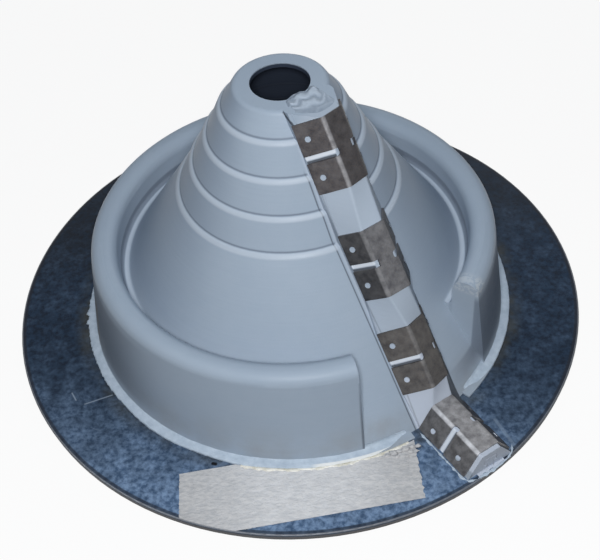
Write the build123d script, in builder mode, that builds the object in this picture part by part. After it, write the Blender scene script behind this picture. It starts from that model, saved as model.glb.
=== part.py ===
from build123d import *
from math import cos, degrees, radians, sin, tan
import os

os.makedirs("parts", exist_ok=True)

# Pipe flashing boot: a stepped rubber cone on a soft metal base ring, split down one side.
# The split is closed by a raised seam of two lips that hook together, held by four folded clips.
# Origin: centre of the flat underside. +Z points up the pipe, and -Y is the front.
# Lengths are in millimetres. An azimuth is in degrees from the front, positive towards +X.

# Base ring and the rubber flange under it
base_diameter = 300.0
ring_bite = 2.1
ring_thickness = 1.6
ring_edge_round = 0.5
ring_gap_width = 16.0
flange_thickness = 2.8
flange_margin = 0.6

# Stepped cone
rubber_wall = 2.6
hole_diameter = 28.2
cone_angle = 32.67
top_land = 7.9
top_round = 3.0
step_count = 4
first_step_run = 6.3
first_step_rise = 10.7
step_run = 8.3
step_rise = 15.6
ledge_width = 1.9
ledge_fall = 1.2
shoulder_round = 3.5

# Thick foot inside, and the thin lip that laps over the ring outside
foot_bead_width = 6.6
foot_bead_height = 2.0
lip_width = 4.0
lip_thickness = 0.9
lip_round = 0.4
lip_gap_half_width = 18.7

# Upstanding fold round the foot, left out beside the seam
fold_height = 55.1
fold_rise = 23.6
fold_inner_set = 1.1
fold_outer_set = 6.7
fold_crown_flat = 0.4
fold_valley_round = 2.4
fold_start_azimuth = 56.6
fold_end_azimuth = 13.7
fold_end_wall = 2.4

# Raised seam: where it runs
seam_azimuth = 36.3
seam_bend_step = 2
seam_bend_out = 0.4
seam_bend_up = 0.6
base_span_azimuth = 30.05
base_span_set = 1.1
base_span_end_gap = 2.5
seam_top_rise = 1.0
top_lead = 4.0
foot_lead = 2.3

# Raised seam: section of the outer lip and of the tongue that it hooks over
ridge_foot_half_width = 13.4
ridge_web_half_width = 5.6
ridge_round = 1.7
ridge_root = 3.0
tongue_neck_half_width = 2.0
tongue_neck_height = 3.6
tongue_head_half_width = 3.6
tongue_head_height = 7.4
slit_width = 0.35
slit_overrun = 2.4

# Clips of folded sheet, their length as a share of the base's radius
clip_share = 0.23
clip_sheet = 0.9
clip_gap = 0.05
clip_foot_gap = 0.45
clip_slot_width = 3.6
clip_slot_reach = 1.7
clip_hole_diameter = 3.0
clip_hole_height = 4.9
stud_clearance = 0.15
stud_proud = 0.35
stud_root = 1.0

# Each clip: its span, the share of the span's uncovered length above it, the seam's shift to the side
# and lean there, the ridge's height, and how high over the seam line the slit leaves the left flank
clip_plan = {
    "seam_clip_top": ("upper", 0.357, 0.3, 8.0, 10.7, 1.3),
    "seam_clip_upper": ("lower", 0.256, 0.7, -10.0, 12.6, 0.5),
    "seam_clip_lower": ("lower", 0.597, -0.9, 12.5, 10.6, 0.3),
    "seam_clip_base": ("base", 0.0, 0.0, 0.0, 11.5, 0.3),
}

# Worked out from the sizes above
base_top = flange_thickness + ring_thickness
base_radius = base_diameter / 2
flange_radius = base_radius - flange_margin
clip_length = base_radius * clip_share
base_span_length = clip_length + foot_lead
foot_radius = base_radius - base_span_end_gap - base_span_length - base_span_set
ring_inner_radius = foot_radius - ring_bite
bead_radius = foot_radius - foot_bead_width
lip_gap_angle = degrees(lip_gap_half_width / foot_radius)
cone_slope = tan(radians(cone_angle))
top_radius = hole_diameter / 2 + top_land
first_crease_radius = top_radius + first_step_run
last_ledge_radius = first_crease_radius + (step_count - 1) * step_run + ledge_width
last_ledge_drop = first_step_rise + (step_count - 1) * step_rise + ledge_fall
top_height = base_top + last_ledge_drop + (foot_radius - last_ledge_radius) / cone_slope
reach = base_diameter


def direction(azimuth):
    """Level unit vector at an azimuth from the front."""
    return Vector(sin(radians(azimuth)), -cos(radians(azimuth)), 0)


def half_plane(azimuth):
    """Radial plane at an azimuth, with x outwards and y up."""
    return Plane(origin=(0, 0, 0), x_dir=direction(azimuth), z_dir=direction(azimuth - 90))


# Points of the cone's outer face as (radius, height), from the flat top down to the foot
cone_face = [(top_radius, top_height)]
cone_rounds = [top_round]
for step in range(step_count):
    crease_radius = first_crease_radius + step * step_run
    crease_height = top_height - first_step_rise - step * step_rise
    cone_face.append((crease_radius, crease_height))
    cone_face.append((crease_radius + ledge_width, crease_height - ledge_fall))
    cone_rounds += [0, shoulder_round]
foot = (foot_radius, base_top)

# The fold leaves the cone at its valley, goes over the crown and drops to the foot
valley_rise = fold_height - fold_rise
valley = (foot_radius - cone_slope * valley_rise, base_top + valley_rise)
fold_inner = (valley[0] + fold_inner_set, base_top + fold_height)
fold_outer = (foot_radius - fold_outer_set, base_top + fold_height)
fold_crown_round = (fold_outer[0] - fold_inner[0] - fold_crown_flat) / 2
fold_face = cone_face + [valley, fold_inner, fold_outer]
fold_rounds = cone_rounds + [fold_valley_round, fold_crown_round, fold_crown_round]


def section_under(plane, face_points, rounds, wall=0.0):
    """Half section of all that lies more than a wall under an outer face, less the thick foot."""
    low = base_top if wall == 0 else -reach
    points = [(-reach, low), (-reach, top_height), *face_points, foot, (foot_radius, low)]
    if wall == 0:
        points.pop()
    corners = [0, 0, *rounds] + [0] * (len(points) - len(rounds) - 2)
    with BuildSketch(plane) as half:
        with BuildLine():
            FilletPolyline(*points, radius=corners, close=True)
        make_face()
        if wall > 0:
            offset(amount=-wall, kind=Kind.INTERSECTION)
            with Locations((bead_radius, base_top + foot_bead_height)):
                Rectangle(reach, 2 * reach, align=(Align.MIN, Align.MAX), mode=Mode.SUBTRACT)
        with Locations((reach / 2, 0)):
            Rectangle(reach, 2 * reach, mode=Mode.INTERSECT)
    return half.sketch


# The seam line's corners: at the flat top, just over one of the creases, at the foot, and out on the ring
seam_out = direction(seam_azimuth)
bend_radius = first_crease_radius + seam_bend_step * step_run + seam_bend_out
bend_drop = first_step_rise + seam_bend_step * step_rise - seam_bend_up
seam_start = seam_out * top_radius + Vector(0, 0, top_height)
seam_bend = seam_out * bend_radius + Vector(0, 0, top_height - bend_drop)
seam_foot = seam_out * foot_radius + Vector(0, 0, base_top)
base_start = seam_out * (foot_radius + base_span_set) + Vector(0, 0, base_top)
base_end = base_start + direction(base_span_azimuth) * base_span_length

# Its spans: where each starts, its direction onwards and to the right, and the clips' seats on them
spans = {
    "upper": (seam_start, (seam_bend - seam_start).normalized(), direction(seam_azimuth + 90)),
    "lower": (seam_bend, (seam_foot - seam_bend).normalized(), direction(seam_azimuth + 90)),
    "base": (base_start, direction(base_span_azimuth), direction(base_span_azimuth + 90)),
}
span_ends = {"upper": seam_bend, "lower": seam_foot, "base": base_end}
clip_seats = {}
for name, (span, share, *shape) in clip_plan.items():
    span_clips = [other for other in clip_plan if clip_plan[other][0] == span]
    uncovered = (span_ends[span] - spans[span][0]).length - len(span_clips) * clip_length
    clip_seats[name] = (span, share * uncovered + span_clips.index(name) * clip_length, *shape)


def seam_plane(span, along, side):
    """Plane across the seam: x to the right, y away from the rubber face, z on down the seam."""
    start, onward, right = spans[span]
    return Plane(origin=start + onward * along + right * side, x_dir=right, z_dir=onward)


def fold_corner(height, lean, hand):
    """Left (-1) or right (+1) top corner of the ridge's section, turned by its lean."""
    return Vector(hand * ridge_web_half_width, height).rotate(Axis.Z, -lean)


def ridge_line(height, lean):
    """Closed outline of the ridge's section, with rounded top corners."""
    points = [
        (-ridge_foot_half_width, -ridge_root),
        (-ridge_foot_half_width, 0),
        fold_corner(height, lean, -1),
        fold_corner(height, lean, 1),
        (ridge_foot_half_width, 0),
        (ridge_foot_half_width, -ridge_root),
    ]
    FilletPolyline(*points, radius=[0, 0, ridge_round, ridge_round, 0, 0], close=True)


def slit_outline(leg_depth, foot_lift):
    """Outline of the slit round the tongue: up from inside, over the head and out on the left."""
    neck, head = tongue_neck_half_width, tongue_head_half_width
    line = [
        (neck, -leg_depth),
        (neck, tongue_neck_height),
        (head, tongue_neck_height),
        (head, tongue_head_height),
        (-head, tongue_head_height),
        (-head, tongue_neck_height),
        (-neck, tongue_neck_height),
        (-neck, foot_lift),
        (-ridge_foot_half_width - slit_overrun, foot_lift),
    ]
    line = [Vector(*point) for point in line]
    sides = {1: [], -1: []}
    for here in range(len(line)):
        before = line[max(here, 1)] - line[max(here, 1) - 1]
        after = line[min(here + 1, len(line) - 1)] - line[min(here, len(line) - 2)]
        mitre = before.normalized().rotate(Axis.Z, 90) + after.normalized().rotate(Axis.Z, 90)
        for hand, points in sides.items():
            points.append(line[here] + mitre * (hand * slit_width / mitre.length**2))
    return sides[1] + sides[-1][::-1]


def flanks(span, start, side, lean, height):
    """Planes on the ridge's two flanks, midway between a clip's holes: x down the seam, z outwards."""
    across = seam_plane(span, start + clip_length / 2, side)
    planes = []
    for hand in (-1, 1):
        low = across.from_local_coords(Vector(hand * ridge_foot_half_width, 0))
        high = across.from_local_coords(fold_corner(height, lean, hand))
        outward = across.z_dir.cross(high - low) * -hand
        hole_centre = low + (high - low).normalized() * clip_hole_height
        planes.append(Plane(origin=hole_centre, x_dir=across.z_dir, z_dir=outward))
    return planes


tab_pitch = (clip_length + clip_slot_width) / 2

# Sections of the ridge and of the slit at both ends of each clip, and on past the first and the last
ridge_sections = []
slit_sections = []
for seat, (span, start, side, lean, height, lift) in clip_seats.items():
    head = start + top_lead if seat == "seam_clip_top" else 0
    tail = base_span_length - clip_length if seat == "seam_clip_base" else 0
    for along, extra in ((start - head, head > 0), (start + clip_length + tail, tail > 0)):
        with BuildSketch(seam_plane(span, along, side)) as section:
            with BuildLine():
                ridge_line(height, lean)
            make_face()
        ridge_sections.append(section.sketch)
        beyond = -ridge_foot_half_width if head and along < start else slit_width
        deep = base_top + ridge_root if span == "base" else rubber_wall + 2 * ridge_root
        with BuildSketch(seam_plane(span, along + (beyond if extra else 0), side)) as section:
            Polygon(*slit_outline(deep, lift), align=None)
        slit_sections.append(section.sketch)

# Base ring: flat soft metal, open where the seam's rubber comes up through it
with BuildPart() as base_ring:
    with BuildSketch(Plane.XY.offset(flange_thickness)):
        Circle(base_radius)
        Circle(ring_inner_radius, mode=Mode.SUBTRACT)
    extrude(amount=ring_thickness)
    rim_edges = base_ring.edges().filter_by(GeomType.CIRCLE).group_by(SortBy.RADIUS)[-1]
    fillet(rim_edges, radius=ring_edge_round)
    with BuildSketch(Plane(origin=(base_start.X, base_start.Y, 0), x_dir=spans["base"][1])) as gap_strip:
        Rectangle(base_diameter / 2, ring_gap_width)
    extrude(amount=2 * base_top, mode=Mode.SUBTRACT)
base_ring.part.label = "base_ring"

# Clips: a sheet folded over the ridge, each flank slit into two tabs with a hole in each
clips = []
for name, seat in clip_seats.items():
    span, start, side, lean, height = seat[:5]
    with BuildPart() as clip:
        with BuildSketch(seam_plane(span, start, side)) as sheet:
            with BuildLine():
                ridge_line(height, lean)
            rubber = make_face(mode=Mode.PRIVATE)
            offset(rubber, amount=clip_gap + clip_sheet, mode=Mode.ADD)
            offset(rubber, amount=clip_gap, mode=Mode.SUBTRACT)
            with Locations((0, clip_foot_gap)):
                Rectangle(reach, reach, align=(Align.CENTER, Align.MAX), mode=Mode.SUBTRACT)
        extrude(amount=clip_length)

        # Slits in the middle, up each flank and a little past its fold
        middle = seam_plane(span, start + clip_length / 2, side)
        from_above = Plane(origin=middle.origin, x_dir=middle.z_dir, z_dir=middle.y_dir)
        with BuildSketch(from_above) as slits:
            for hand in (-1, 1):
                inner_end = fold_corner(height, lean, hand).X - hand * clip_slot_reach
                with Locations((0, inner_end)):
                    across = (Align.CENTER, Align.MAX if hand < 0 else Align.MIN)
                    Rectangle(clip_slot_width, reach / 4, align=across)
            fillet(slits.vertices().group_by(SortBy.DISTANCE)[0], radius=clip_slot_width / 3)
        extrude(amount=height * 2, mode=Mode.SUBTRACT)

        # A hole in each tab
        for flank in flanks(span, start, side, lean, height):
            with BuildSketch(flank):
                with Locations((-tab_pitch / 2, 0), (tab_pitch / 2, 0)):
                    Circle(clip_hole_diameter / 2)
            extrude(amount=2 * clip_sheet, mode=Mode.SUBTRACT)
    clip.part.label = name
    clips.append(clip.part)

# Boot: one rubber moulding
with BuildPart() as boot:
    # Outer form of the cone and of the fold
    revolve(section_under(half_plane(0), cone_face, cone_rounds), axis=Axis.Z)
    fold_sweep = 360 + fold_end_azimuth - fold_start_azimuth
    revolve(
        section_under(half_plane(fold_start_azimuth), fold_face, fold_rounds),
        axis=Axis.Z,
        revolution_arc=fold_sweep,
    )

    # Outer lip of the raised seam, from section to section down its line, trimmed level at the top
    loft(ridge_sections, ruled=True)
    with BuildSketch(Plane.XY.offset(top_height + seam_top_rise)):
        Circle(reach)
    extrude(amount=reach, mode=Mode.SUBTRACT)

    # Hollow under the wall, and under the fold between its two end walls
    revolve(section_under(half_plane(0), cone_face, cone_rounds, rubber_wall), axis=Axis.Z, mode=Mode.SUBTRACT)
    end_angle = degrees(fold_end_wall / foot_radius)
    revolve(
        section_under(half_plane(fold_start_azimuth + end_angle), fold_face, fold_rounds, rubber_wall),
        axis=Axis.Z,
        revolution_arc=fold_sweep - 2 * end_angle,
        mode=Mode.SUBTRACT,
    )

    # Flange under the ring, the foot inside it and the lip over its inner edge, left out at the seam
    with BuildSketch(Plane.XY):
        Circle(flange_radius)
        Circle(bead_radius, mode=Mode.SUBTRACT)
    extrude(amount=flange_thickness)
    with BuildSketch(Plane.XY.offset(flange_thickness)):
        Circle(ring_inner_radius)
        Circle(bead_radius, mode=Mode.SUBTRACT)
    extrude(amount=ring_thickness)
    with BuildSketch(half_plane(seam_azimuth + lip_gap_angle)) as lip:
        with Locations((foot_radius - rubber_wall / 2, base_top)):
            Rectangle(lip_width + rubber_wall / 2, lip_thickness, align=(Align.MIN, Align.MIN))
        tip = lip.vertices().sort_by(SortBy.DISTANCE)[-1]
        fillet(tip, radius=lip_round)
    revolve(lip.sketch, axis=Axis.Z, revolution_arc=360 - 2 * lip_gap_angle)

    # Rubber that comes up through the ring's gap
    with BuildSketch(Plane.XY.offset(flange_thickness)):
        Circle(flange_radius)
        Circle(ring_inner_radius, mode=Mode.SUBTRACT)
        add(gap_strip.sketch, mode=Mode.INTERSECT)
    extrude(amount=ring_thickness)
    add(base_ring.part, mode=Mode.SUBTRACT)

    # Hole for the pipe
    with BuildSketch(Plane.XY.offset(top_height + seam_top_rise)):
        Circle(hole_diameter / 2)
    extrude(amount=-2 * rubber_wall - seam_top_rise, mode=Mode.SUBTRACT)

    # The clips' legs are bedded in the rubber where the steps and the lip stand in their way
    add(clips, mode=Mode.SUBTRACT)

    # Studs on both flanks of the seam, one in each hole of the clips
    for seat in clip_seats.values():
        for flank in flanks(*seat[:5]):
            with BuildSketch(flank.offset(-stud_root)):
                with Locations((-tab_pitch / 2, 0), (tab_pitch / 2, 0)):
                    Circle(clip_hole_diameter / 2 - stud_clearance)
            extrude(amount=stud_root + clip_gap + clip_sheet + stud_proud)

    # Slit between the two lips, open from the hole in the top out to the rim
    loft(slit_sections, ruled=True, mode=Mode.SUBTRACT)
boot.part.label = "boot"

for piece in [boot.part, base_ring.part] + clips:
    export_step(piece, f"parts/{piece.label}.step")
    print(piece.label, len(piece.solids()), "solid,", round(piece.volume / 1000, 2), "cubic cm, valid", piece.is_valid)
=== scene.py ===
# %% [markdown]
# # A pipe flashing boot in rubber and soft sheet metal
# A roofer slides this boot down a pipe and screws its flat ring to the roof. It is a stepped cone
# of blue-grey rubber with an upstanding fold round its foot, and it is split down one side so that
# it also goes round a pipe that is already there. Four folded clips hold the split shut.
# The measured solids come in as a fixed frame. This script dresses them: it gives each one a
# finish made from noise and arithmetic, and adds the thin things that no solid holds.

# %% Load the measured model
import math
from types import SimpleNamespace

import bpy
from mathutils import Matrix, Vector, noise

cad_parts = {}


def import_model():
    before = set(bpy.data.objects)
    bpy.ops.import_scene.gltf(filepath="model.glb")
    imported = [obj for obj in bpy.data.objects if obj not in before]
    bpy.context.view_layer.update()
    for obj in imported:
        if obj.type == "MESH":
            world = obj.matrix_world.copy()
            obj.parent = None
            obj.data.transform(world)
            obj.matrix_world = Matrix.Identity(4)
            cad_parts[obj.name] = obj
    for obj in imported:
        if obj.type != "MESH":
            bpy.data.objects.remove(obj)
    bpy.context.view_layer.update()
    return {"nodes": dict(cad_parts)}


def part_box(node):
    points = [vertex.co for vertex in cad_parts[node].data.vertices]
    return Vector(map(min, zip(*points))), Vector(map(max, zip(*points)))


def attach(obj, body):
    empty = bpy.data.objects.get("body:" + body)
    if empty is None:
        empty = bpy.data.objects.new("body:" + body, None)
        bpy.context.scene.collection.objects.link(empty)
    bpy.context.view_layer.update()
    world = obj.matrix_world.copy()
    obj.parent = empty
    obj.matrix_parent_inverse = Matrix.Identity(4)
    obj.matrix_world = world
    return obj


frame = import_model()
MM = 0.001
SEAM_OVER_TOP = 1.0
RING_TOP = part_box("base_ring")[1].z
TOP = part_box("boot")[1].z - SEAM_OVER_TOP * MM
print("nodes:", sorted(frame["nodes"]), "ring top at", round(RING_TOP / MM, 2), "mm")

# %% [markdown]
# ## The camera
# The photograph looks down at the front by about 47 degrees, from some 640 mm away, and the object
# leans a little to the left in it. A camera's three axes are the columns of its rotation matrix,
# so the lean is made by turning the right and up axes about the line of sight.

# %% Camera where the photographer stood
VIEW_ELEVATION = math.radians(47.53)
VIEW_DISTANCE = 641.4 * MM
VIEW_ROLL = math.radians(-4.69)
SIGHT_POINT = (1.78, 0, 10.59)
SENSOR_WIDTH = 36
LENS = 70.65

sight_point = Vector(SIGHT_POINT) * MM + Vector((0, 0, RING_TOP))
eye = VIEW_DISTANCE * Vector((0, -math.cos(VIEW_ELEVATION), math.sin(VIEW_ELEVATION)))
eye.z += RING_TOP
away = (eye - sight_point).normalized()
level = Vector((0, 0, 1)).cross(away).normalized()
upright = away.cross(level)
cam_right = level * math.cos(VIEW_ROLL) + upright * math.sin(VIEW_ROLL)
cam_up = away.cross(cam_right)

camera_data = bpy.data.cameras.new("camera")
camera_data.sensor_width = SENSOR_WIDTH
camera_data.lens = LENS
camera = bpy.data.objects.new("camera", camera_data)
bpy.context.scene.collection.objects.link(camera)
camera.matrix_world = Matrix.Translation(eye) @ Matrix((cam_right, cam_up, away)).transposed().to_4x4()
bpy.context.scene.camera = camera
bpy.context.scene.view_settings.view_transform = "Standard"
print("camera", [round(v, 3) for v in eye], "lens", camera_data.lens)

# %% [markdown]
# ## Small helpers for nodes
# Every finish below is a net of nodes. One helper adds a node, sets its properties and plugs in
# its inputs, whether they are numbers or the outputs of other nodes. The rest give short names to
# the sums that come back all the time.

# %% Nodes and arithmetic
def add_node(tree, kind, inputs=None, **settings):
    """Adds a node; an input may be a value or another node's output socket."""
    made = tree.nodes.new(kind)
    for name, value in settings.items():
        setattr(made, name, value)
    for socket, value in (inputs or {}).items():
        if isinstance(value, bpy.types.NodeSocket):
            tree.links.new(value, made.inputs[socket])
        else:
            made.inputs[socket].default_value = value
    return made


def math_node(tree, operation, a, b=0.0, clamp=False):
    """One step of arithmetic on two numbers or sockets."""
    return add_node(tree, "ShaderNodeMath", {0: a, 1: b}, operation=operation, use_clamp=clamp).outputs[0]


def times(tree, a, b, clamp=False):
    """a times b."""
    return math_node(tree, "MULTIPLY", a, b, clamp)


def plus(tree, a, b, clamp=False):
    """a plus b."""
    return math_node(tree, "ADD", a, b, clamp)


def minus(tree, a, b):
    """a less b."""
    return math_node(tree, "SUBTRACT", a, b)


def inverse(tree, mask):
    """1 where a mask is 0, and 0 where it is 1."""
    return minus(tree, 1.0, mask)


def either(tree, a, b):
    """The larger of two masks."""
    return math_node(tree, "MAXIMUM", a, b)


def vector_node(tree, operation, a, b=(0, 0, 0), out="Vector"):
    """One step of arithmetic on two vectors or sockets."""
    return add_node(tree, "ShaderNodeVectorMath", {0: a, 1: b}, operation=operation).outputs[out]


def scaled(tree, vector, factor):
    """A vector made longer by a factor."""
    return add_node(tree, "ShaderNodeVectorMath", {0: vector, "Scale": factor}, operation="SCALE").outputs[0]


# %% Masks
def between(tree, value, low, high):
    """0 below low, 1 above high, and smooth between them."""
    ends = {"Value": value, "From Min": low, "From Max": high}
    return add_node(tree, "ShaderNodeMapRange", ends, interpolation_type="SMOOTHSTEP").outputs["Result"]


def past(tree, length, low, high):
    """The same for a length in the model, with its two limits in millimetres."""
    return between(tree, length, low * MM, high * MM)


def before(tree, length, low, high):
    """1 below low, 0 above high, in millimetres."""
    return inverse(tree, past(tree, length, low, high))


def band(tree, length, low, full, still_full, high):
    """1 from full to still_full, and 0 below low and above high, in millimetres."""
    return times(tree, past(tree, length, low, full), before(tree, length, still_full, high))


def spread(tree, mask, low, high):
    """Values from low to high where a mask goes from 0 to 1."""
    ends = {"Value": mask, "To Min": low, "To Max": high}
    return add_node(tree, "ShaderNodeMapRange", ends).outputs["Result"]


def soft_noise(tree, vector, detail, roughness=0.5):
    """Noise at the size of one unit of a vector."""
    inputs = {"Vector": vector, "Scale": 1.0, "Detail": detail, "Roughness": roughness}
    return add_node(tree, "ShaderNodeTexNoise", inputs).outputs["Fac"]


# %% Colours
def mix_colour(tree, factor, a, b, blend="MIX"):
    """Mixes two colours, given as red, green and blue or as sockets, by a factor."""
    made = add_node(tree, "ShaderNodeMix", data_type="RGBA", blend_type=blend)
    for socket, value in ((made.inputs["Factor"], factor), (made.inputs[6], a), (made.inputs[7], b)):
        if isinstance(value, bpy.types.NodeSocket):
            tree.links.new(value, socket)
        else:
            socket.default_value = (*value, 1) if isinstance(value, tuple) else value
    return made.outputs[2]


def paint(tree, tone, mask, share, colour):
    """Covers a tone with a colour, by a share of a mask."""
    return mix_colour(tree, times(tree, mask, share), tone, colour)


# %% [markdown]
# ## Effects that several finishes share
# Moulded rubber, coated sheet and worn steel all have soft clouds of tone, fine grain and thin
# marks, only in other sizes. Each effect is a node group that is built once. It takes the place on
# the object, in metres, and a size, and gives back a mask between 0 and 1.

# %% A group's shell
def effect_group(name, inputs):
    """A new node group with a Place input, the given inputs and one Mask output."""
    tree = bpy.data.node_groups.new(name, "ShaderNodeTree")
    tree.interface.new_socket("Place", in_out="INPUT", socket_type="NodeSocketVector")
    for socket, value in inputs.items():
        kind = "NodeSocketVector" if isinstance(value, tuple) else "NodeSocketFloat"
        made = tree.interface.new_socket(socket, in_out="INPUT", socket_type=kind)
        made.default_value = value
    tree.interface.new_socket("Mask", in_out="OUTPUT", socket_type="NodeSocketFloat")
    return tree, tree.nodes.new("NodeGroupInput").outputs, tree.nodes.new("NodeGroupOutput").inputs


# %% Clouds of tone
CLOUD_STRETCH = 2.2
clouds, given, result = effect_group("tone_clouds", {"Size": 0.03, "Contrast": 1.0})
place_in_sizes = scaled(clouds, given["Place"], math_node(clouds, "DIVIDE", 1.0, given["Size"]))
centred = minus(clouds, soft_noise(clouds, place_in_sizes, 5.0, 0.6), 0.5)
stretched = times(clouds, centred, times(clouds, given["Contrast"], CLOUD_STRETCH))
clouds.links.new(plus(clouds, stretched, 0.5, clamp=True), result["Mask"])

# %% Fine grain
grain, given, result = effect_group("fine_grain", {"Size": 0.001})
place_in_sizes = scaled(grain, given["Place"], math_node(grain, "DIVIDE", 1.0, given["Size"]))
rough = soft_noise(grain, place_in_sizes, 3.0, 0.7)
grain.links.new(between(grain, rough, 0.25, 0.75), result["Mask"])

# %% Flow lines that run level round the part
flow, given, result = effect_group("level_lines", {"Height": 0.0015, "Length": 0.05})
apart = add_node(flow, "ShaderNodeSeparateXYZ", {0: given["Place"]}).outputs
squeezed = {
    axis: math_node(flow, "DIVIDE", apart[axis], given[size])
    for axis, size in (("X", "Length"), ("Y", "Length"), ("Z", "Height"))
}
lines = soft_noise(flow, add_node(flow, "ShaderNodeCombineXYZ", squeezed).outputs[0], 2.0)
flow.links.new(between(flow, lines, 0.3, 0.7), result["Mask"])

# %% Thin scratches
SCRATCH_WIDTH = 1.2 * MM
scratch, given, result = effect_group("thin_scratches", {"Length": 0.03, "Turn": 0.0, "Rarity": 0.66})
turn = {"Vector": given["Place"], "Angle": given["Turn"]}
turned = add_node(scratch, "ShaderNodeVectorRotate", turn, rotation_type="Z_AXIS").outputs[0]
apart = add_node(scratch, "ShaderNodeSeparateXYZ", {0: turned}).outputs
long_way = math_node(scratch, "DIVIDE", apart["X"], given["Length"])
short_way = math_node(scratch, "DIVIDE", apart["Y"], SCRATCH_WIDTH)
joined = add_node(scratch, "ShaderNodeCombineXYZ", {"X": long_way, "Y": short_way, "Z": apart["Z"]})
peaks = {
    "Value": soft_noise(scratch, joined.outputs[0], 1.0),
    "From Min": given["Rarity"],
    "From Max": plus(scratch, given["Rarity"], 0.03),
}
only_peaks = add_node(scratch, "ShaderNodeMapRange", peaks)
scratch.links.new(only_peaks.outputs["Result"], result["Mask"])

# %% A mark along a straight line
mark, given, result = effect_group("line_mark", {"Start": (0, 0, 0), "End": (0, 0, 1), "Width": 0.001})
whole = vector_node(mark, "SUBTRACT", given["End"], given["Start"])
reach = vector_node(mark, "SUBTRACT", given["Place"], given["Start"])
along_line = vector_node(mark, "DOT_PRODUCT", reach, whole, "Value")
square = vector_node(mark, "DOT_PRODUCT", whole, whole, "Value")
foot = scaled(mark, whole, math_node(mark, "DIVIDE", along_line, square, clamp=True))
gap = vector_node(mark, "DISTANCE", reach, foot, "Value")
gap_share = math_node(mark, "DIVIDE", gap, given["Width"])
mark.links.new(inverse(mark, between(mark, gap_share, 0.35, 1.0)), result["Mask"])
print("shared effects:", [g.name for g in bpy.data.node_groups])


# %% [markdown]
# ## Starting a material
# The models' points are already in the part's own frame, so the object coordinate of a texture
# tells where on the boot a spot lies. From it come the height and the distance from the middle
# axis, and with those dirt can be put at the foot and wear at the rim.

# %% Material starter
def start_material(name):
    """A material, its tree and shader, and the place, x, y, z and radius of a spot on the part."""
    material = bpy.data.materials.new(name)
    material.use_nodes = True
    tree = material.node_tree
    place = add_node(tree, "ShaderNodeTexCoord").outputs["Object"]
    axes = add_node(tree, "ShaderNodeSeparateXYZ", {0: place}).outputs
    flat = add_node(tree, "ShaderNodeCombineXYZ", {"X": axes["X"], "Y": axes["Y"]}).outputs[0]
    radius = vector_node(tree, "LENGTH", flat, out="Value")
    at = SimpleNamespace(place=place, x=axes["X"], y=axes["Y"], z=axes["Z"], radius=radius)
    return material, tree, tree.nodes["Principled BSDF"], at


def effect(tree, group, place, **values):
    """Places a shared effect in a material and gives its mask."""
    made = tree.nodes.new("ShaderNodeGroup")
    made.node_tree = group
    tree.links.new(place, made.inputs["Place"])
    for socket, value in values.items():
        made.inputs[socket].default_value = value
    return made.outputs["Mask"]


def line_mark(tree, place, start, end, width):
    """A mark along a straight line, with its two ends and its width in millimetres."""
    ends = {name: tuple(v * MM for v in point) for name, point in (("Start", start), ("End", end))}
    return effect(tree, mark, place, Width=width * MM, **ends)


def along(tree, x, y, way):
    """How far a place lies along a level direction."""
    return plus(tree, times(tree, x, way[0]), times(tree, y, way[1]))


def turned_to(tree, direction, low, high):
    """1 where the surface faces a direction, from how far its own normal agrees with it."""
    normal = add_node(tree, "ShaderNodeNewGeometry").outputs["Normal"]
    return between(tree, vector_node(tree, "DOT_PRODUCT", normal, direction, "Value"), low, high)


def bump(tree, shader, height, strength, distance):
    """Roughens a surface by a height between 0 and 1."""
    made = add_node(tree, "ShaderNodeBump", {"Strength": strength, "Distance": distance, "Height": height})
    tree.links.new(made.outputs["Normal"], shader.inputs["Normal"])


# %% [markdown]
# ## Moulded rubber
# The rubber is a cool blue-grey with a satin sheen. Level flow lines run round it, its tone drifts
# in broad clouds, and there is brown dust low on the fold. Then come the stains and marks of use,
# and painted shade, highlights and reflections. Each is a mask for its place on the boot, and
# covers a share of the tone under it with a colour.

# %% The rubber's colours
RUBBER_DEEP = (0.308, 0.378, 0.466)
RUBBER_PALE = (0.340, 0.410, 0.496)
PALE_CLOUDS = (0.375, 0.437, 0.512)
FLOW_LINES = (0.290, 0.345, 0.430)
BROWN_DUST = (0.230, 0.205, 0.165)
WALL_SHADE = (0.105, 0.125, 0.160)
RIGHT_WALL_SHADE = (0.070, 0.092, 0.135)
SIDE_SHADE = (0.170, 0.225, 0.320)
VALLEY_HIGHLIGHT = (0.480, 0.540, 0.620)
VALLEY_SHADE = (0.110, 0.130, 0.170)
LIP_PALE = (0.445, 0.500, 0.580)
LIP_STRETCHED = (0.560, 0.610, 0.710)
LIP_SHADOW = (0.050, 0.058, 0.078)
STUD_SHADE = (0.030, 0.034, 0.044)
FAR_SHADE = (0.020, 0.022, 0.028)
SLOT_LIT = (0.640, 0.690, 0.760)
SLOT_SHADE = (0.040, 0.044, 0.054)
FOLD_CORNER_SHADE = (0.085, 0.100, 0.130)
WARM_REFLECTION = (0.210, 0.165, 0.125)
RUBBED_SPOT = (0.580, 0.610, 0.630)
DARK_DOTS = (0.090, 0.090, 0.080)
SCUFF_DARK = (0.075, 0.085, 0.110)
FLANGE_EDGE_SHADE = (0.098, 0.092, 0.090)
LEDGE_HIGHLIGHT = (0.500, 0.560, 0.640)
CREASE_SHADE = (0.095, 0.115, 0.155)
INSIDE_SHADE = (0.019, 0.026, 0.046)

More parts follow.
